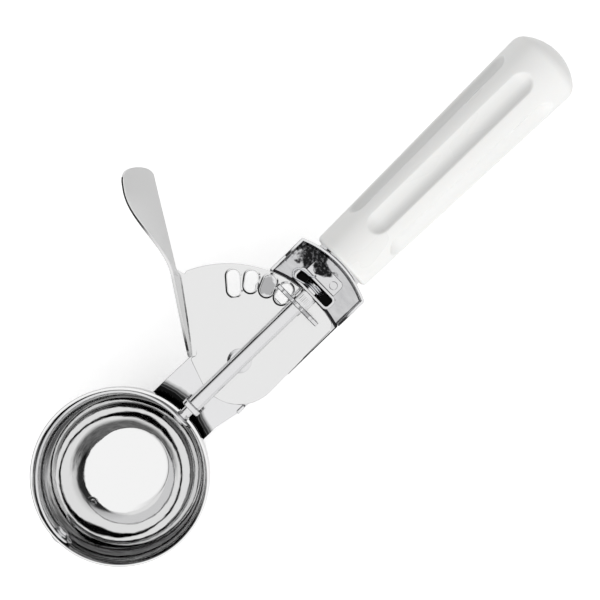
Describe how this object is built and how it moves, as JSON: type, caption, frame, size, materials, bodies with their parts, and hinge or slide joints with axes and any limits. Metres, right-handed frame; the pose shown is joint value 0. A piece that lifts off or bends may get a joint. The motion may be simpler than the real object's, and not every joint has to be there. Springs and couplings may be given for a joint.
{
  "type": "lever ice cream scoop",
  "caption": "Portioning scoop: a steel bowl on a pressed shank, with a thumb lever whose slotted sector turns a scraper band in the bowl, and a white plastic handle.",
  "frame": {"origin": "centre of the bowl's circular rim plane, on the bowl's own axis", "axes": "+X along the shaft towards the handle, +Y to the side where the thumb lever stands at rest, +Z out of the bowl's mouth"},
  "size_m": [0.27, 0.1167, 0.0459],
  "materials": {
    "polished_bowl": "mirror-polished stainless steel, deep drawn",
    "polished_sheet": "polished stainless sheet, pressed",
    "satin_sheet": "fine satin stainless sheet, blanked and folded",
    "machined_steel": "turned stainless steel, bright",
    "spring_strip": "rolled spring-steel strip, polished",
    "spring_wire": "drawn stainless spring wire",
    "white_plastic": "moulded polypropylene, glossy white"
  },
  "bodies": {
    "frame": {"bowl": "polished_bowl", "shank": "polished_sheet", "front_bearing": "machined_steel", "bearing_bracket": "polished_sheet", "bracket_rivets": "machined_steel", "pivot_washer": "machined_steel", "pivot_rivet": "machined_steel", "far_pin": "machined_steel", "far_washer": "machined_steel", "return_spring": "spring_wire", "tang": "machined_steel", "tang_pins": "machined_steel", "neck_washer": "machined_steel", "handle": "white_plastic"},
    "lever": {"thumb_lever": "satin_sheet"},
    "scraper_shaft": {"shaft": "machined_steel", "pinion": "machined_steel", "pinion_hub": "machined_steel", "scraper": "spring_strip", "scraper_washer": "machined_steel"}
  },
  "joints": [
    {"name": "lever_press", "type": "hinge", "parent": "frame", "child": "lever", "pos_m": [0.063, 0, -0.01275], "axis": [0, 0, -1], "range_deg": [0, 43]},
    {"name": "scraper_turn", "type": "hinge", "parent": "frame", "child": "scraper_shaft", "pos_m": [0.0945, 0, -0.004], "axis": [-1, 0, 0], "range_deg": [0, 155], "stiffness_Nm_per_rad": 0.04, "springref_deg": -91.67, "deforming": ["return_spring"]}
  ],
  "couplings": [
    {"joint": "scraper_turn", "follows": "lever_press", "ratio": 3.6}
  ]
}
